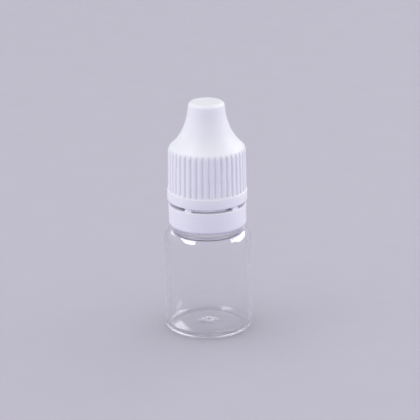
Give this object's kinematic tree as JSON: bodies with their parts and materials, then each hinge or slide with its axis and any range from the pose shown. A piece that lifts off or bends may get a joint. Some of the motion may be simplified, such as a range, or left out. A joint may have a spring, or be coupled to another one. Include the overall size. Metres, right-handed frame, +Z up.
{
  "type": "dropper bottle",
  "caption": "Small clear plastic dropper bottle with a press-in nozzle and a ribbed white screw cap over a break-away ring.",
  "frame": {"origin": "centre of the standing face, on the bottle's axis", "axes": "+Z up along the bottle's axis through the nozzle; -Y is the front seen in the picture; +X to its right"},
  "size_m": [0.022, 0.022, 0.0593],
  "materials": {
    "clear_pet": "clear glossy moulded plastic, colourless",
    "natural_ldpe": "milky translucent soft plastic, satin",
    "white_polypropylene": "opaque white moulded plastic, smooth with a soft gloss"
  },
  "bodies": {
    "bottle": {"bottle": "clear_pet", "dropper_plug": "natural_ldpe"},
    "ring": {"tamper_ring": "white_polypropylene"},
    "cap": {"cap": "white_polypropylene"}
  },
  "joints": [
    {"name": "cap_turn", "type": "hinge", "parent": "bottle", "child": "ring", "pos_m": [0, 0, 0.034], "axis": [0, 0, 1], "range_deg": [0, 540]},
    {"name": "cap_lift", "type": "slide", "parent": "ring", "child": "cap", "axis": [0, 0, 1], "range_m": [0, 0.0045]}
  ],
  "couplings": [
    {"joint": "cap_turn", "follows": "cap_lift", "rad_per_m": 2094.4}
  ]
}
